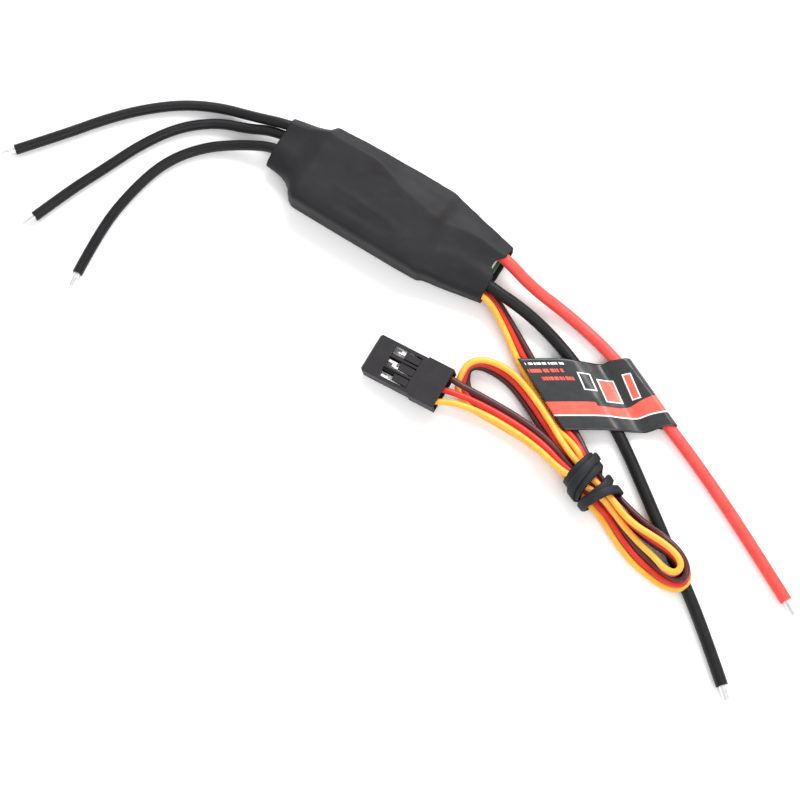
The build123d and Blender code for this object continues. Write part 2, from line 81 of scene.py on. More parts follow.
# The servo ribbon: the middle wire's place, the lean of the signal wire about it (0 = beside it on
# the right of travel, 90 = above it) and the spacing. It runs from the board through the tie, round
# the outer, upper and inner loops, and on to the socket.
SERVO_RIBBON = [
    (9.2, -5.2, 3.6, 0, 1.15), (13.8, -5.0, 3.5, 10, 1.15), (18.4, -4.35, 2.9, 35, 1.15),
    (22.8, -3.93, 2.5, 45, 1.15), (28.0, -6.7, 1.65, 40, 1.15), (33.3, -10.0, 0.85, 5, 1.2),
    (39.4, -13.6, 0.65, 0, 1.2), (44.6, -16.45, 0.85, 0, 1.2), (47.7, -17.75, 2.0, 35, 1.2),
    (50.13, -19.24, 3.0, 58, 1.15),
    (54.2, -22.0, 2.2, 25, 1.1),
    (58.27, -23.19, 1.0, 0, 1.2), (61.5, -24.1, 1.2, -30, 1.2), (64.8, -24.5, 1.75, -65, 1.2),
    (67.0, -24.65, 2.5, -78, 1.2), (68.7, -24.9, 3.75, -88, 1.2), (71.4, -25.3, 4.0, -92, 1.2),
    (73.5, -26.15, 4.05, -94, 1.2), (75.1, -27.4, 3.9, -98, 1.2), (75.7, -28.8, 3.3, -110, 1.2),
    (75.0, -30.0, 2.5, -125, 1.2), (72.8, -30.4, 1.9, -133, 1.2), (70.0, -30.05, 1.65, -140, 1.2),
    (67.0, -29.5, 1.65, -146, 1.2), (64.2, -28.5, 1.65, -146, 1.2), (61.6, -27.3, 1.6, -146, 1.2),
    (59.2, -25.95, 1.65, -148, 1.1), (56.4, -25.2, 1.7, -150, 1.0),
    (53.0, -24.1, 1.8, -170, 1.0),
    (48.75, -22.71, 1.65, -205, 1.0), (45.9, -21.5, 1.1, -185, 1.2), (42.5, -20.8, 0.75, -180, 1.2),
    (37.4, -20.7, 0.62, -180, 1.2), (32.2, -20.85, 0.62, -180, 1.2), (28.8, -20.9, 0.75, -192, 1.2),
    (27.1, -19.9, 1.15, -212, 1.2), (26.25, -17.9, 1.6, -248, 1.2), (26.1, -16.1, 1.78, -262, 1.2),
    (27.4, -14.75, 1.8, -255, 1.2), (30.2, -14.1, 1.75, -240, 1.2), (33.8, -14.35, 1.75, -235, 1.2),
    (38.2, -16.1, 1.85, -230, 1.2), (42.6, -18.35, 2.15, -230, 1.2), (46.0, -19.9, 2.5, -252, 1.2),
    (49.53, -20.9, 2.85, -280, 1.15),
    (53.8, -22.4, 3.2, -275, 1.1),
    (58.07, -23.65, 3.5, -270, 1.2), (60.9, -24.95, 3.6, -270, 1.2), (64.1, -25.65, 3.65, -270, 1.2),
    (67.3, -25.95, 3.7, -256, 1.2), (70.2, -26.1, 4.05, -257, 1.2), (72.5, -26.65, 4.35, -264, 1.2),
    (73.9, -27.7, 4.55, -270, 1.2), (73.6, -29.15, 4.2, -270, 1.2), (71.8, -29.25, 3.1, -270, 1.2),
    (69.0, -28.2, 2.2, -270, 1.2), (66.45, -27.6, 1.85, -270, 1.2), (63.9, -26.85, 1.8, -270, 1.2),
    (61.6, -26.05, 1.85, -270, 1.2), (59.0, -25.0, 2.3, -270, 1.2), (56.9, -24.2, 3.0, -262, 1.15),
    (53.0, -23.6, 3.45, -240, 1.1),
    (48.5, -23.1, 3.85, -212, 1.1), (44.2, -21.75, 3.85, -192, 1.2), (38.6, -21.05, 3.6, -180, 1.2),
    (32.0, -21.2, 3.6, -180, 1.25), (27.0, -21.9, 3.75, -180, 1.65),
]

# The socket's own frame: x from its mating face to the wire end, z up through its thickness.
PLUG_TILT = math.radians(9.0)
PLUG_TURN = math.radians(1.6)
PLUG_ORIGIN = Vector((11.25, -22.95, 0.0))
PLUG_X = Vector((
    math.cos(PLUG_TILT) * math.cos(PLUG_TURN), math.cos(PLUG_TILT) * math.sin(PLUG_TURN),
    math.sin(PLUG_TILT),
))
PLUG_Y = Vector((-math.sin(PLUG_TURN), math.cos(PLUG_TURN), 0.0))
PLUG_Z = PLUG_X.cross(PLUG_Y)
PIN_PLACES = (-2.54, 0.0, 2.54)


def plug_point(x, y, z):
    """A point of the socket's own frame, in millimetres of the row frame."""
    return PLUG_ORIGIN + PLUG_X * x + PLUG_Y * y + PLUG_Z * z


# ---- material helpers ----------------------------------------------------------------------
class Look:
    """One procedural material and short ways to add and link its shader nodes."""

    def __init__(self, name):
        self.material = bpy.data.materials.new(name)
        self.material.use_nodes = True
        self.tree = self.material.node_tree
        self.shader = self.tree.nodes["Principled BSDF"]

    def add(self, kind, **inputs):
        node = self.tree.nodes.new(kind)
        for key, value in inputs.items():
            node.inputs[key.replace("_", " ")].default_value = value
        return node

    def link(self, source, target):
        self.tree.links.new(source, target)

    def coords(self):
        return self.add("ShaderNodeTexCoord").outputs["Object"]

    def noise(self, scale, detail=4.0, roughness=0.55, stretch=None):
        texture = self.add("ShaderNodeTexNoise", Scale=scale, Detail=detail, Roughness=roughness)
        place = self.coords()
        if stretch:
            mapping = self.add("ShaderNodeMapping")
            mapping.inputs["Scale"].default_value = stretch
            self.link(place, mapping.inputs["Vector"])
            place = mapping.outputs["Vector"]
        self.link(place, texture.inputs["Vector"])
        return texture.outputs["Fac"]

    def ramp(self, source, stops):
        node = self.add("ShaderNodeValToRGB")
        ramp = node.color_ramp
        while len(ramp.elements) < len(stops):
            ramp.elements.new(0.5)
        for element, (place, colour) in zip(ramp.elements, stops):
            element.position = place
            element.color = (*colour, 1.0)
        self.link(source, node.inputs["Fac"])
        return node.outputs["Color"]

    def levels(self, source, low, high):
        node = self.add("ShaderNodeMapRange")
        node.inputs["To Min"].default_value = low
        node.inputs["To Max"].default_value = high
        self.link(source, node.inputs["Value"])
        return node.outputs["Result"]

    def mix(self, factor, a, b):
        node = self.tree.nodes.new("ShaderNodeMix")
        node.data_type = "RGBA"
        sockets = [s for s in node.inputs if s.enabled and s.type == "RGBA"]
        for socket, value in zip(sockets, (a, b)):
            if isinstance(value, tuple):
                socket.default_value = (*value, 1.0)
            else:
                self.link(value, socket)
        self.link(factor, node.inputs["Factor"])
        return [s for s in node.outputs if s.enabled][0]

    def math(self, operation, a, b=None):
        node = self.add("ShaderNodeMath")
        node.operation = operation
        for socket, value in zip(node.inputs, (a, b)):
            if value is None:
                continue
            if isinstance(value, (int, float)):
                socket.default_value = value
            else:
                self.link(value, socket)
        return node.outputs["Value"]

    def bump(self, height, strength, distance, below=None):
        node = self.add("ShaderNodeBump", Strength=strength, Distance=distance)
        self.link(height, node.inputs["Height"])
        if below is not None:
            self.link(below, node.inputs["Normal"])
        return node.outputs["Normal"]

    def box(self, x, y, low, high):
        """1 inside a rectangle of the two coordinates, 0 outside."""
        inside = self.math("GREATER_THAN", x, low[0])
        for value, limit, operation in (
            (x, high[0], "LESS_THAN"), (y, low[1], "GREATER_THAN"), (y, high[1], "LESS_THAN"),
        ):
            inside = self.math("MULTIPLY", inside, self.math(operation, value, limit))
        return inside

    def either(self, *masks):
        """The largest of several masks."""
        total = masks[0]
        for mask in masks[1:]:
            total = self.math("MAXIMUM", total, mask)
        return total

    def set(self, **values):
        for key, value in values.items():
            socket = self.shader.inputs[key.replace("_", " ")]
            if isinstance(value, bpy.types.NodeSocket):
                self.link(value, socket)
            elif isinstance(value, tuple):
                socket.default_value = (*value, 1.0)
            else:
                socket.default_value = value


def soft_plastic(
    name, dark, light, scale, rough, bump_strength=0.12, bump_size=0.00003, specular=0.5
):
    """Moulded or extruded plastic: slight colour variation, a fine grain and uneven gloss."""
    m = Look(name)
    broad = m.noise(scale * 0.22, 3.0)
    fine = m.noise(scale, 6.0, 0.6)
    m.set(Base_Color=m.ramp(broad, [(0.3, dark), (0.7, light)]))
    m.set(Roughness=m.levels(fine, rough[0], rough[1]))
    m.set(Normal=m.bump(fine, bump_strength, bump_size))
    m.set(Specular_IOR_Level=specular)
    return m.material


def metal(name, dark, light, rough, scale=900.0, stretch=None):
    """Tinned or bare metal with streaks and small dents."""
    m = Look(name)
    streaks = m.noise(scale, 5.0, 0.6, stretch)
    lumps = m.noise(scale * 0.4, 2.0)
    m.set(Base_Color=m.ramp(streaks, [(0.25, dark), (0.75, light)]), Metallic=1.0)
    m.set(Roughness=m.levels(streaks, rough[0], rough[1]))
    m.set(Normal=m.bump(lumps, 0.35, 0.00008, m.bump(streaks, 0.25, 0.00002)))
    return m.material


# ---- materials -------------------------------------------------------------------------------
black_silicone = soft_plastic(
    "black_silicone", (0.005, 0.005, 0.006), (0.009, 0.009, 0.010), 1500, (0.34, 0.5), specular=0.22
)
red_silicone = soft_plastic(
    "red_silicone", (0.74, 0.055, 0.045), (0.8, 0.075, 0.06), 1500, (0.32, 0.46), specular=0.35
)
signal_pvc = soft_plastic(
    "signal_pvc", (0.84, 0.36, 0.035), (0.9, 0.46, 0.065), 1800, (0.3, 0.42), specular=0.35
)
power_pvc = soft_plastic(
    "power_pvc", (0.56, 0.022, 0.014), (0.66, 0.034, 0.02), 1800, (0.3, 0.42), specular=0.35
)
ground_pvc = soft_plastic(
    "ground_pvc", (0.055, 0.014, 0.016), (0.085, 0.021, 0.022), 1800, (0.3, 0.42), specular=0.35
)
tin = metal("tinned_copper", (0.62, 0.62, 0.62), (0.93, 0.93, 0.93), (0.2, 0.42))
housing_nylon = soft_plastic(
    "housing_nylon", (0.009, 0.0075, 0.009), (0.015, 0.013, 0.0155), 2200, (0.42, 0.6),
    0.3, 0.00004, 0.34,
)
tie_rubber = soft_plastic(
    "tie_rubber", (0.007, 0.008, 0.010), (0.012, 0.014, 0.017), 1300, (0.5, 0.7), 0.5, 0.00008, 0.28
)
chip_epoxy = soft_plastic(
    "chip_epoxy", (0.012, 0.012, 0.013), (0.022, 0.022, 0.023), 3200, (0.5, 0.7), 0.4, 0.00003
)
ceramic = soft_plastic(
    "ceramic", (0.36, 0.23, 0.14), (0.46, 0.31, 0.2), 2600, (0.4, 0.6), 0.25, 0.00002
)
pad_silicone = soft_plastic(
    "pad_silicone", (0.30, 0.34, 0.40), (0.38, 0.42, 0.47), 1400, (0.6, 0.8), 0.4, 0.00005
)
contact_tin = metal(
    "contact_tin", (0.9, 0.9, 0.9), (1.0, 1.0, 1.0), (0.36, 0.5), 1500, (0.4, 3.0, 1.0)
)
solder_tin = metal("solder_tin", (0.5, 0.5, 0.51), (0.8, 0.8, 0.81), (0.22, 0.5), 700)
brushed_plate = metal(
    "brushed_plate", (0.5, 0.5, 0.52), (0.72, 0.72, 0.74), (0.3, 0.5), 700, (0.08, 2.5, 1.0)
)


def shrunk_film():
    """Charcoal heat-shrink: matt, faintly mottled, with fine wrinkles along the body."""
    m = Look("shrunk_film")
    broad = m.noise(150.0, 4.0)
    wrinkles = m.noise(520.0, 6.0, 0.62, (0.45, 1.5, 1.0))
    grain = m.noise(4200.0, 3.0)
    tint = m.ramp(broad, [
        (0.28, (0.0105, 0.0085, 0.0095)), (0.5, (0.0125, 0.0125, 0.0145)),
        (0.72, (0.016, 0.0148, 0.0165)),
    ])
    # the film's colour is made lighter along the raised crests of the wrinkles
    crest_lightening = m.ramp(wrinkles, [(0.6, (0.0, 0.0, 0.0)), (0.78, (0.35, 0.35, 0.35))])
    m.set(Base_Color=m.mix(crest_lightening, tint, (0.022, 0.021, 0.023)))
    m.set(Roughness=m.levels(wrinkles, 0.46, 0.66))
    m.set(Normal=m.bump(grain, 0.12, 0.00002, m.bump(wrinkles, 0.3, 0.00007)))
    m.set(Specular_IOR_Level=0.2)
    return m.material


def board_laminate():
    """Green solder mask over copper tracks, with a white printed line along the edge by the wires."""
    m = Look("board_laminate")
    place = m.add("ShaderNodeSeparateXYZ")
    m.link(m.coords(), place.inputs["Vector"])
    x, y = place.outputs["X"], place.outputs["Y"]
    tracks = m.ramp(m.noise(600.0, 1.0, 0.3, (0.35, 1.6, 1.0)), [(0.46, (0, 0, 0)), (0.5, (1, 1, 1))])
    mask = m.mix(tracks, (0.008, 0.075, 0.035), (0.016, 0.12, 0.055))
    line = m.box(x, y, (0.0204, -0.0017), (0.0207, 0.0026))
    m.set(Base_Color=m.mix(line, mask, (0.78, 0.8, 0.78)))
    m.set(Roughness=m.levels(m.noise(2600.0), 0.28, 0.46))
    m.set(Normal=m.bump(tracks, 0.25, 0.00003))
    return m.material


# Printed places on the label, in mm. Bands give how far they lie below the top edge. Boxes give the
# distance from the fold and from the top edge of one corner, then of the other.
LABEL_BAND = (8.75, 11.35)
LABEL_BAND_STEP = (8.7, 0.75)
LABEL_BAND_RISE = (5.0, 0.22)
LABEL_LINE = (11.35, 11.62)
LABEL_ROWS = ((9.8, 0.85, 16.3, 1.3), (10.6, 2.15, 16.5, 2.85), (9.7, 3.75, 15.0, 4.45))
LABEL_BLOCKS = ((-0.9, 3.0, 0.75, 8.1), (2.4, 3.5, 5.3, 8.4))
LABEL_FRAME = (6.0, 2.6, 8.1, 6.3)
LABEL_OUTLINE = 0.24
LABEL_LEAN = 0.17
DASH_SHARE = 0.44


def printed_film():
    """Glossy dark film printed with a coral band, rows of small dashes and plain framed blocks."""
    m = Look("printed_film")
    where = m.add("ShaderNodeSeparateXYZ")
    m.link(m.add("ShaderNodeTexCoord").outputs["UV"], where.inputs["Vector"])
    s = m.math("MULTIPLY", where.outputs["X"], 100.0)
    t = m.math("MULTIPLY", where.outputs["Y"], 100.0)
    lean = m.math("SUBTRACT", s, m.math("MULTIPLY", t, LABEL_LEAN))
    ink = m.noise(900.0, 4.0)
    step = m.math("MULTIPLY", m.math("LESS_THAN", s, LABEL_BAND_STEP[0]), LABEL_BAND_STEP[1])
    by_fold = m.math("MAXIMUM", m.math("SUBTRACT", LABEL_BAND_RISE[0], s), 0.0)
    top = m.math("ADD", m.math("MULTIPLY", by_fold, -LABEL_BAND_RISE[1]), LABEL_BAND[0])
    top = m.math("ADD", top, step)
    band = m.math("MULTIPLY", m.math("GREATER_THAN", t, top), m.math("LESS_THAN", t, LABEL_BAND[1]))
    line = m.box(s, t, (-60.0, LABEL_LINE[0]), (60.0, LABEL_LINE[1]))
    dashes = []
    for row, (s0, t0, s1, t1) in enumerate(LABEL_ROWS):
        grain = m.add("ShaderNodeTexNoise", Scale=2.1 + 0.3 * row, Detail=1.0)
        grain.noise_dimensions = "1D"
        m.link(m.math("ADD", s, 9.0 * row), grain.inputs["W"])
        marks = m.math("GREATER_THAN", grain.outputs["Fac"], DASH_SHARE)
        dashes.append(m.math("MULTIPLY", marks, m.box(s, t, (s0, t0), (s1, t1))))
    rims, fills = [], []
    for s0, t0, s1, t1 in (*LABEL_BLOCKS, LABEL_FRAME):
        rims.append(m.box(lean, t, (s0, t0), (s1, t1)))
        inner_low = (s0 + LABEL_OUTLINE, t0 + LABEL_OUTLINE)
        inner_high = (s1 - LABEL_OUTLINE, t1 - LABEL_OUTLINE)
        fills.append(m.box(lean, t, inner_low, inner_high))
    frame_hole = fills.pop()
    dark = m.ramp(ink, [(0.3, (0.012, 0.0125, 0.014)), (0.7, (0.02, 0.021, 0.023))])
    coral = m.ramp(ink, [(0.3, (0.86, 0.085, 0.055)), (0.7, (0.93, 0.12, 0.08))])
    colour = m.mix(m.either(line, dashes[0], *rims), dark, (0.9, 0.88, 0.86))
    colour = m.mix(frame_hole, colour, dark)
    colour = m.mix(m.either(band, dashes[1], dashes[2], *fills), colour, coral)
    m.set(Base_Color=colour)
    m.set(Roughness=m.levels(m.noise(350.0, 5.0), 0.2, 0.38))
    m.set(Normal=m.bump(m.noise(260.0, 3.0), 0.2, 0.0001, m.bump(ink, 0.08, 0.00002)))
    m.set(Specular_IOR_Level=0.6)
    return m.material


sleeve_film = shrunk_film()
board_mask = board_laminate()
label_film = printed_film()

# Every CAD node that stays gets its finish; the moulded edges of the socket are slightly rounded.
NODE_LOOKS = {
    "circuit_board": board_mask, "high_side_mosfets": chip_epoxy, "low_side_mosfets": chip_epoxy,
    "microcontroller": chip_epoxy, "bec_regulators": chip_epoxy, "gate_transistors": chip_epoxy,
    "ceramic_resonator": ceramic, "input_capacitors": ceramic, "chip_resistors": chip_epoxy,
    "chip_capacitors": ceramic, "thermal_pad": pad_silicone, "heatsink_plate": brushed_plate,
    "motor_solder_joints": solder_tin, "battery_solder_joints": solder_tin,
    "servo_solder_joints": solder_tin, "motor_tip_a": tin, "motor_tip_b": tin, "motor_tip_c": tin,
    "battery_tip_positive": tin, "battery_tip_negative": tin, "connector_housing": housing_nylon,
    "latch_tongue_1": housing_nylon, "latch_tongue_2": housing_nylon, "latch_tongue_3": housing_nylon,
}
ROUNDED = {
    "connector_housing": 0.16, "latch_tongue_1": 0.08, "latch_tongue_2": 0.08, "latch_tongue_3": 0.08,
}


def finish_node(name, material):
    """The node's own material, and a small round on the edges of the parts that show."""
    node = nodes[name]
    node.data.materials.clear()
    node.data.materials.append(material)
    if name in ROUNDED:
        weld = node.modifiers.new("joined_edges", "WELD")
        weld.merge_threshold = 0.002 * MM
        bevel = node.modifiers.new("edge_round", "BEVEL")
        bevel.width = ROUNDED[name] * MM
        bevel.segments = 3
        bevel.limit_method = "ANGLE"
        bevel.angle_limit = math.radians(40)
        bevel.harden_normals = True


for name, material in NODE_LOOKS.items():
    finish_node(name, material)

# ---- mesh helpers -------------------------------------------------------------------------------
def mesh_piece(name, points, faces, material, uvs=None, body="controller"):
    """A smooth-shaded mesh from points in millimetres, riding on a body."""
    data = bpy.data.meshes.new(name)
    data.from_pydata([Vector(p) * MM for p in points], [], faces)
    if uvs:
        layer = data.uv_layers.new(name="print")
        for loop in data.loops:
            layer.data[loop.index].uv = uvs[loop.vertex_index]
    data.materials.append(material)
    data.shade_smooth()
    data.update()
    piece = bpy.data.objects.new(name, data)
    bpy.context.scene.collection.objects.link(piece)
    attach(piece, body)
    return piece


def grid_faces(rows, columns, closed):
    """Quads between neighbouring rows of points; closed joins each row's last point to its first."""
    faces = []
    for i in range(rows - 1):
        for j in range(columns if closed else columns - 1):
            k = (j + 1) % columns
            row, below = i * columns, (i + 1) * columns
            faces.append((row + j, below + j, below + k, row + k))
    return faces


def eased(table, x):
    """A smooth curve through a table of (x, value or values) that never overshoots its points."""
    x = min(max(x, table[0][0]), table[-1][0])
    k = max(i for i in range(len(table) - 1) if table[i][0] <= x or i == 0)
    near = [table[min(max(i, 0), len(table) - 1)] for i in range(k - 1, k + 3)]
    (xa, *a), (xb, *b), (xc, *c), (xd, *d) = near
    span = xc - xb
    f = (x - xb) / span
    values = []
    for va, vb, vc, vd in zip(a, b, c, d):
        middle = (vc - vb) / span
        before = (vb - va) / (xb - xa) if xb > xa else middle
        after = (vd - vc) / (xd - xc) if xd > xc else middle
        start = 0.0 if before * middle <= 0 else 2 * before * middle / (before + middle)
        end = 0.0 if after * middle <= 0 else 2 * after * middle / (after + middle)
        h = f * f * (3 - 2 * f)
        values.append(
            vb * (1 - h) + vc * h + span * (start * f * (1 - f) ** 2 - end * f * f * (1 - f))
        )
    return values


def bulge(value, centre, width):
    """A smooth bump of height 1 at centre that reaches 0 a width away."""
    f = min(abs(value - centre) / width, 1.0)
    return (1 - f * f) ** 2


# ---- crimp contacts -----------------------------------------------------------------------------
# Boxes of one contact in the socket's frame: low and high corners about its own middle line, in mm.
CONTACT_HEIGHT = 1.3
CONTACT_BOXES = [
    ((1.1, -0.8, -0.8), (6.9, 0.8, -0.62)), ((1.1, -0.8, -0.7), (3.3, -0.62, 0.75)),
    ((1.1, 0.62, -0.7), (3.3, 0.8, 0.75)), ((3.3, -0.8, -0.7), (6.9, -0.66, -0.2)),
    ((3.3, 0.66, -0.7), (6.9, 0.8, -0.2)), ((1.1, -0.8, 0.6), (3.3, 0.8, 0.76)),
    ((6.9, -0.5, -0.8), (9.2, 0.5, -0.45)), ((9.1, -0.75, -0.75), (9.9, 0.75, 0.6)),
    ((10.1, -0.72, -0.72), (11.5, 0.72, 0.66)),
]
# The bars of the sprung fork that show in each window, differently bent in each contact.
CONTACT_FORKS = {
    "signal": [((3.5, -0.3, 0.5), (4.9, 0.12, 0.74)), ((4.6, -0.5, 0.5), (5.4, -0.15, 0.7))],
    "power": [
        ((3.4, 0.0, 0.5), (5.1, 0.5, 0.76)), ((4.3, -0.5, 0.5), (5.0, 0.2, 0.72)),
        ((4.8, -0.6, 0.48), (5.6, -0.2, 0.7)),
    ],
    "ground": [
        ((3.5, 0.2, 0.5), (4.7, 0.55, 0.74)), ((4.1, -0.5, 0.5), (4.8, -0.2, 0.7)),
        ((4.6, -0.5, 0.48), (5.5, 0.4, 0.74)),
    ],
}
BOX_FACES = ((0, 1, 3, 2), (4, 6, 7, 5), (0, 4, 5, 1), (2, 3, 7, 6), (0, 2, 6, 4), (1, 5, 7, 3))


def contact_piece(use, place):
    """One folded sheet-metal contact lying in its bay of the socket."""
    points, faces = [], []
    for low, high in CONTACT_BOXES + CONTACT_FORKS[use]:
        base = len(points)
        for x in (low[0], high[0]):
            for y in (low[1], high[1]):
                for z in (low[2], high[2]):
                    points.append(plug_point(x, place + y, CONTACT_HEIGHT + z))
        faces += [tuple(base + corner for corner in face) for face in BOX_FACES]
    piece = mesh_piece("socket_contact_" + use, points, faces, contact_tin)
    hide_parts("contact_" + use)
    fold = piece.modifiers.new("folds", "BEVEL")
    fold.width = 0.05 * MM
    fold.segments = 2
    fold.limit_method = "ANGLE"
    fold.harden_normals = True
    return piece


# ---- cords ------------------------------------------------------------------------------------
def spline_curve(name, points, diameter, material, body="controller"):
    """A round wire along one smooth NURBS line through the route's points as controls."""
    data = bpy.data.curves.new(name, "CURVE")
    data.dimensions = "3D"
    data.bevel_depth = diameter / 2
    data.bevel_resolution = 5
    data.use_fill_caps = True
    data.resolution_u = 10
    spline = data.splines.new("NURBS")
    spline.points.add(len(points) - 1)
    for point, place in zip(spline.points, points):
        point.co = (*(Vector(place) * MM), 1.0)
    spline.order_u = 3
    spline.use_endpoint_u = True
    data.materials.append(material)
    piece = bpy.data.objects.new(name, data)
    bpy.context.scene.collection.objects.link(piece)
    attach(piece, body)
    return piece


def ribbon_wires(rows):
    """The signal, power and ground wires' points from the ribbon's rows."""
    signal, power, ground = [], [], []
    for i, (x, y, z, lean, pitch) in enumerate(rows):
        before = rows[max(i - 1, 0)]
        after = rows[min(i + 1, len(rows) - 1)]
        way = Vector((after[0] - before[0], after[1] - before[1], 0)).normalized()
        angle = math.radians(lean)
        side = Vector((way.y, -way.x, 0)) * math.cos(angle) + Vector((0, 0, 1)) * math.sin(angle)
        middle = Vector((x, y, z))
        signal.append(middle + side * pitch)
        power.append(middle)
        ground.append(middle - side * pitch)
    return signal, power, ground


def bare_wire(node, points, diameter, material):
    """A wire's insulation along its route, standing in for the hidden CAD wire; it ends at a tinned tip.
    """
    piece = spline_curve(node + "_insulation", points, diameter, material)
    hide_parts(node)


MOTOR_WIRE = 0.0018
BATTERY_WIRE = 0.0021
SERVO_WIRE = 0.0011
for node, points, diameter, material, slot, length, exit_point in (
    ("motor_wire_a", MOTOR_A, MOTOR_WIRE, black_silicone, "wire_black", 0.0584, (-22.0, 3.4, 3.95)),
    ("motor_wire_b", MOTOR_B, MOTOR_WIRE, black_silicone, "wire_black", 0.0570, (-22.0, 1.8, 2.7)),
    ("motor_wire_c", MOTOR_C, MOTOR_WIRE, black_silicone, "wire_black", 0.0535, (-22.0, -0.9, 3.6)),
    (
        "battery_wire_positive", BATTERY_POSITIVE, BATTERY_WIRE, red_silicone, "wire_red", 0.0845,
        (22, 2.5, 4.0),
    ),
    (
        "battery_wire_negative", BATTERY_NEGATIVE, BATTERY_WIRE, black_silicone, "wire_black", 0.0891,
        (22, -3.1, 4.0),
    ),
):
    bare_wire(node, points, diameter, material)

SERVO_USES = ("signal", "power", "ground")
SERVO_MATERIALS = (signal_pvc, power_pvc, ground_pvc)
SERVO_SLOTS = ("servo_orange", "servo_red", "servo_brown")
for use, points, place, material, slot in zip(
    SERVO_USES, ribbon_wires(SERVO_RIBBON), PIN_PLACES, SERVO_MATERIALS, SERVO_SLOTS
):
    points.append(plug_point(13.5, place, CONTACT_HEIGHT))
    points.append(plug_point(11.6, place, CONTACT_HEIGHT))
    servo_wire = spline_curve("servo_wire_" + use, points, SERVO_WIRE, material)
    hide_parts("servo_lead_" + use, "servo_tail_" + use)
    contact = contact_piece(use, place)
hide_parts("servo_lead_loops")

# ---- heat-shrink sleeve ---------------------------------------------------------------------------
# Stations along the body: x, the front and back sides in y, the underside in z, the top of the front
# side, then three places (y, z) across the top from front to back, and the top of the back side.
SLEEVE_STATIONS = [
    (-21.9, -4.35, 5.05, 1.35, 3.3, -1.5, 4.95, 1.3, 4.85, 3.8, 5.3, 4.0),
    (-19.6, -4.55, 5.45, 1.15, 3.5, -1.8, 5.1, 1.3, 5.05, 4.2, 5.4, 4.0),
    (-18.0, -4.95, 5.75, 0.9, 3.9, -2.4, 5.3, 1.2, 5.3, 4.6, 5.5, 4.0),
    (-16.5, -6.0, 6.15, 0.45, 4.7, -3.8, 5.8, 0.6, 5.8, 5.1, 5.9, 4.2),
    (-15.5, -7.4, 6.5, 0.15, 5.4, -5.2, 6.2, 0.2, 6.2, 5.4, 6.2, 4.3),
    (-14.4, -7.95, 7.5, 0.0, 6.0, -6.2, 6.48, 0.0, 6.45, 5.55, 6.45, 4.5),
    (-6.4, -8.0, 7.85, 0.0, 6.05, -6.3, 6.5, 0.0, 6.52, 5.6, 6.48, 4.6),
    (0.8, -8.0, 7.95, 0.0, 6.05, -6.3, 6.5, -1.0, 6.5, 3.5, 6.48, 4.75),
    (5.5, -8.0, 8.0, 0.0, 6.0, -6.2, 6.5, -1.5, 6.48, 2.6, 6.4, 4.7),
    (8.2, -7.95, 8.0, 0.0, 5.9, -6.0, 6.42, -1.2, 6.34, 2.1, 6.26, 4.6),
    (10.3, -7.9, 7.55, 0.05, 5.55, -4.9, 6.12, -1.0, 5.86, 1.9, 5.74, 4.45),
    (11.3, -7.45, 7.3, 0.1, 5.2, -4.3, 5.9, -0.8, 5.6, 2.2, 5.58, 4.4),
    (12.6, -7.2, 7.05, 0.1, 4.95, -3.4, 5.74, -0.4, 5.42, 2.6, 5.55, 4.3),
    (15.0, -6.9, 6.5, 0.25, 4.6, -2.7, 5.58, 0.3, 5.35, 3.0, 5.68, 4.2),
    (18.4, -6.3, 5.8, 0.4, 4.3, -2.8, 5.56, 0.2, 5.3, 2.9, 5.64, 4.1),
    (21.9, -5.75, 5.05, 0.65, 4.0, -3.1, 5.52, -0.2, 5.22, 2.7, 5.58, 4.0),
]
SLEEVE_ROUNDS = (1.0, 1.3, 1.7, 2.0, 0.45, 0.4, 0.8)
SLEEVE_WALL = 0.3
SLEEVE_ARC_STEPS = 6
SLEEVE_SIDE_STEPS = 7
SLEEVE_STEPS = 150


def rounded_section(corners, rounds, arc_steps, side_steps):
    """Points round a polygon with each corner rounded, the same number whatever its shape."""
    count = len(corners)
    arcs = []
    for i, corner in enumerate(corners):
        before = corners[i - 1] - corner
        after = corners[(i + 1) % count] - corner
        start = corner + before.normalized() * min(rounds[i], before.length * 0.45)
        end = corner + after.normalized() * min(rounds[i], after.length * 0.45)
        steps = [k / arc_steps for k in range(arc_steps + 1)]
        arcs.append([start * (1 - f) ** 2 + corner * 2 * f * (1 - f) + end * f * f for f in steps])
    points = []
    for i, arc in enumerate(arcs):
        points += arc
        start, end = arc[-1], arcs[(i + 1) % count][0]
        points += [start.lerp(end, k / side_steps) for k in range(1, side_steps)]
    return points


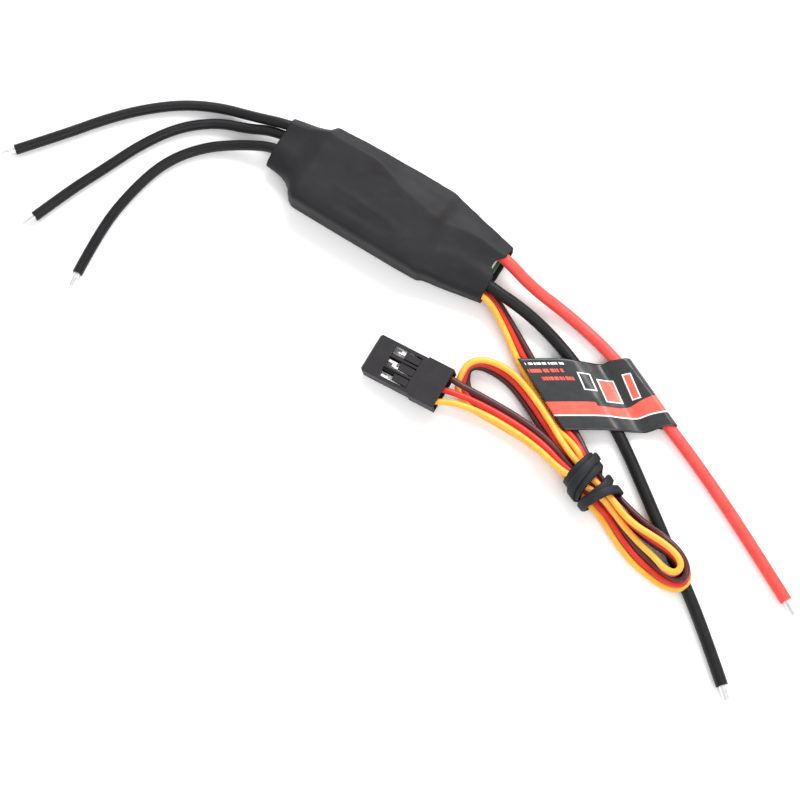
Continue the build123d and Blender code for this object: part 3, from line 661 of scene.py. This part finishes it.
def sleeve_points(x):
    """The film's outer line across the body at x, from the front lower corner up and over."""
    front, back, low, front_top, ay, az, by, bz, cy, cz, back_top = eased(SLEEVE_STATIONS, x)
    corners = [
        Vector((front, low)), Vector((front, front_top)), Vector((ay, az)), Vector((by, bz)),
        Vector((cy, cz)), Vector((back, back_top)), Vector((back, low)),
    ]
    points = []
    for y, z in rounded_section(corners, SLEEVE_ROUNDS, SLEEVE_ARC_STEPS, SLEEVE_SIDE_STEPS):
        place = Vector((x, y, z))
        lumps = noise.noise(place * 0.28) * 0.06
        lumps += noise.noise(place * 0.75 + Vector((9, 0, 0))) * 0.035
        upper = min(max((z - low - 0.6) / 1.2, 0.0), 1.0)
        out = Vector((0, y - (front + back) / 2, (z - 3.0) * 2)).normalized()
        place += out * (lumps - 0.04) * upper
        if z > 5.0:
            # what lies under the film prints through: the plate's front edge, a bend and a corner
            ridge = bulge(y + 2.9 + 0.07 * x, 0.0, 0.9) * bulge(x, -2.5, 8.5)
            step = bulge(x - 5.2 - 0.3 * (y + 4.5), 0.0, 0.8) * bulge(y, -5.0, 2.2)
            hollow = bulge(y + 4.9, 0.0, 1.2) * bulge(x, -3.0, 9.0)
            place.z += 0.09 * ridge + 0.1 * step - 0.1 * hollow
        if z > 3.4:
            # between the battery wires the film's edge is drawn back
            place.x -= 1.35 * bulge(y, 0.35, 2.2) * min(max((x - 17.5) / 4.4, 0.0), 1.0)
        points.append(place)
    return points


sleeve_start = SLEEVE_STATIONS[0][0]
sleeve_length = SLEEVE_STATIONS[-1][0] - sleeve_start
sleeve_rows = [
    sleeve_points(sleeve_start + sleeve_length * i / SLEEVE_STEPS) for i in range(SLEEVE_STEPS + 1)
]
sleeve = mesh_piece(
    "shrunk_sleeve", [p for row in sleeve_rows for p in row],
    grid_faces(len(sleeve_rows), len(sleeve_rows[0]), True), sleeve_film,
)
wall = sleeve.modifiers.new("wall", "SOLIDIFY")
wall.thickness = SLEEVE_WALL * MM
wall.offset = -1.0
wall.use_even_offset = True
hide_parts("heatshrink_sleeve")

# ---- label ----------------------------------------------------------------------------------------
FLAG_CORNER = Vector((46.85, -1.95, 0.0))
FLAG_RUN = Vector((-0.848, -0.53, 0.0))
FLAG_SIDE = Vector((0.894, -0.447, 0.0))
FLAG_LENGTH = 17.0
FLAG_WIDTH = 14.4
FOLD_OVERHANG = 2.1
LABEL_FILM = 0.13
LABEL_ROW_COUNT = 37
UNPRINTED = 40.0               # added to the lower layer's printed distance, where only the band shows
FLAG_STEPS = 40
FOLD_STEPS = 16
# Height of the film's middle over and under the wire it is wrapped round.
FOLD_TOP = 2.72
FOLD_LOW = 0.18
# Height of the film over the floor along the flag, at its top and at its bottom edge.
FLAG_TOP_HEIGHTS = [
    (-0.6, FOLD_TOP), (1.3, 2.2), (3.4, 0.95), (5.6, 1.75), (8.3, 2.5), (11.5, 2.45), (17.0, 2.35),
]
FLAG_BOTTOM_HEIGHTS = [
    (-1.6, FOLD_TOP), (1.0, 2.2), (3.9, 1.1), (6.0, 1.6), (8.3, 2.45), (11.5, 2.4), (17.0, 2.2),
]
# How far the film is drawn along its side by the same waves, at its top and at its bottom edge.
FLAG_TOP_SHIFT = [(-2.2, -0.1), (1.5, 0.35), (3.3, 0.7), (6.5, 0.45), (10.7, -0.1), (17.0, 0.0)]
FLAG_BOTTOM_SHIFT = [(-2.7, -0.95), (0.0, -0.5), (3.5, 0.3), (6.0, 0.28), (10.0, 0.12), (17.0, 0.0)]


def label_section(f):
    """Distances, heights and printed distances of the folded film, f along its side from 0 to 1."""
    fold = -FOLD_OVERHANG - 0.55 * f
    start = -0.6 - 1.0 * f

    def height(s):
        return eased(FLAG_TOP_HEIGHTS, s)[0] * (1 - f) + eased(FLAG_BOTTOM_HEIGHTS, s)[0] * f

    line = []
    for i in range(FLAG_STEPS + 1):
        s = FLAG_LENGTH + (start - FLAG_LENGTH) * i / FLAG_STEPS
        line.append((s, height(s), s))
    reach = start - fold
    half = (FOLD_TOP - FOLD_LOW) / 2
    for i in range(1, FOLD_STEPS + 1):
        turn = math.pi * i / FOLD_STEPS
        z = FOLD_LOW + half * (1 + math.cos(turn))
        line.append((start - math.sin(turn) * reach, z, start - turn))
    for i in range(1, FLAG_STEPS + 1):
        s = start + (FLAG_LENGTH - start) * i / FLAG_STEPS
        under = height(s) - 0.17
        join = min(max((s - start - 0.8) / 2.2, 0.0), 1.0)
        join = join * join * (3 - 2 * join)
        line.append((s, FOLD_LOW + (under - FOLD_LOW) * join, UNPRINTED + s))
    return line


def label_place(s, z, f):
    """A point of the film from its distance along the flag, its height and f along its side."""
    shift = eased(FLAG_TOP_SHIFT, s)[0] * (1 - f) + eased(FLAG_BOTTOM_SHIFT, s)[0] * f
    place = FLAG_CORNER + FLAG_RUN * s + FLAG_SIDE * (FLAG_WIDTH * f + shift)
    place.z = z + 0.05 * noise.noise(place * 0.5)
    return place


label_points, label_uvs = [], []
for i in range(LABEL_ROW_COUNT):
    f = i / (LABEL_ROW_COUNT - 1)
    section = label_section(f)
    for s, z, printed in section:
        label_points.append(label_place(s, z, f))
        label_uvs.append((printed * 0.01, f * FLAG_WIDTH * 0.01))
label = mesh_piece(
    "folded_label", label_points, grid_faces(LABEL_ROW_COUNT, len(section), False), label_film,
    label_uvs,
)
film = label.modifiers.new("film", "SOLIDIFY")
film.thickness = LABEL_FILM * MM
film.offset = 0.0
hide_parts("label_flag")

# ---- tie --------------------------------------------------------------------------------------------
TIE_START = Vector((49.4, -21.25, 2.95))
TIE_END = Vector((57.6, -24.75, 2.95))
TIE_WAY = (TIE_END - TIE_START).normalized()
TIE_SIDE = Vector((-TIE_WAY.y, TIE_WAY.x, 0.0))
BUNDLE = (2.45, 2.1)           # half width and half height of the folded lead inside the tie
# The band's place along the bundle and its lift over earlier turns, at each quarter turn from below
# the bundle over its left side, top, right side and so on.
TIE_QUARTERS = [
    (1.6, 0.0), (2.6, 0.0), (1.95, 0.05), (1.5, 0.0), (3.6, 0.0), (5.3, 0.05), (4.3, 0.4), (3.2, 0.2),
    (5.6, 0.0), (6.9, 0.0), (7.1, 0.1), (6.1, 0.2), (7.3, 0.0), (7.2, 0.5), (7.75, 0.6), (8.7, 0.3),
    (6.6, 0.3), (4.6, 0.6), (3.0, 0.85), (1.9, 0.55), (2.6, 0.3),
]
TIE_BAND = (1.6, 0.86)         # width and thickness
TIE_STEPS = 12
TIE_SECTION = 14


def tie_path(k):
    """A point of the band's middle line at k quarter turns, and the way out of the bundle there."""
    along, lift = eased([(i, *row) for i, row in enumerate(TIE_QUARTERS)], k)
    turn = -math.pi / 2 - k * math.pi / 2
    grow = lift + TIE_BAND[1] / 2 + 0.12
    side, rise = math.cos(turn), math.sin(turn)
    place = TIE_START + TIE_WAY * along + TIE_SIDE * side * (BUNDLE[0] + grow)
    place.z = max(place.z + rise * (BUNDLE[1] + grow), TIE_BAND[1] / 2 + 0.05)
    return place, TIE_SIDE * side + Vector((0, 0, rise))


tie_points = []
tie_rings = (len(TIE_QUARTERS) - 1) * TIE_STEPS + 1
for i in range(tie_rings):
    place, out = tie_path(i / TIE_STEPS)
    ahead, behind = tie_path((i + 0.5) / TIE_STEPS)[0], tie_path((i - 0.5) / TIE_STEPS)[0]
    way = (ahead - behind).normalized()
    across = way.cross(out).normalized()
    out = across.cross(way)
    wide = TIE_BAND[0] / 2 * (1 + 0.16 * noise.noise(place * 0.9))
    thick = TIE_BAND[1] / 2 * (1 + 0.2 * noise.noise(place * 1.4 + Vector((5, 0, 0))))
    for j in range(TIE_SECTION):
        a = 2 * math.pi * j / TIE_SECTION
        c, d = math.cos(a), math.sin(a)
        x = math.copysign(abs(c) ** 0.55, c) * wide
        y = math.copysign(abs(d) ** 0.75, d) * thick
        # a shallow groove runs along the middle of the band
        y *= 1 - 0.22 * bulge(x, 0.0, wide * 0.6)
        tie_points.append(place + across * x + out * y)
tie_faces = grid_faces(tie_rings, TIE_SECTION, True)
tie_faces.append(tuple(range(TIE_SECTION)))
tie_faces.append(tuple(reversed(range((tie_rings - 1) * TIE_SECTION, tie_rings * TIE_SECTION))))
tie = mesh_piece("wound_tie", tie_points, tie_faces, tie_rubber)
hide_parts("twist_tie")

# ---- floor and light ---------------------------------------------------------------------------
floor_mesh = bpy.data.meshes.new("floor")
FLOOR_HALF = 1.6
floor_corners = [(x * FLOOR_HALF, y * FLOOR_HALF, 0) for x, y in ((-1, -1), (1, -1), (1, 1), (-1, 1))]
floor_mesh.from_pydata(floor_corners, [], [(0, 1, 2, 3)])
floor = bpy.data.objects.new("floor", floor_mesh)
bpy.context.scene.collection.objects.link(floor)
floor_look = Look("floor_white")
floor_tones = [(0.2, (0.93, 0.93, 0.93)), (0.8, (0.95, 0.95, 0.95))]
floor_look.set(Base_Color=floor_look.ramp(floor_look.noise(3.0), floor_tones))
floor_look.set(Roughness=0.9, Specular_IOR_Level=0.1)
floor_mesh.materials.append(floor_look.material)

world = bpy.data.worlds.new("world")
bpy.context.scene.world = world
world.use_nodes = True
sky = world.node_tree.nodes["Background"]
sky.inputs["Color"].default_value = (1.0, 1.0, 1.0, 1.0)
sky.inputs["Strength"].default_value = 0.9


def softbox(name, place, target, size, power):
    """A square area light aimed at a point, in metres."""
    data = bpy.data.lights.new(name, "AREA")
    data.shape = "SQUARE"
    data.size = size
    data.energy = power
    light = bpy.data.objects.new(name, data)
    light.location = place
    light.rotation_euler = (Vector(target) - Vector(place)).to_track_quat("-Z", "Y").to_euler()
    bpy.context.scene.collection.objects.link(light)


softbox("key", (-0.1, 0.6, 0.55), (0.02, -0.01, 0.0), 0.5, 7.5)
softbox("fill", (0.5, -0.35, 0.65), (0.02, -0.01, 0.0), 0.6, 3.5)
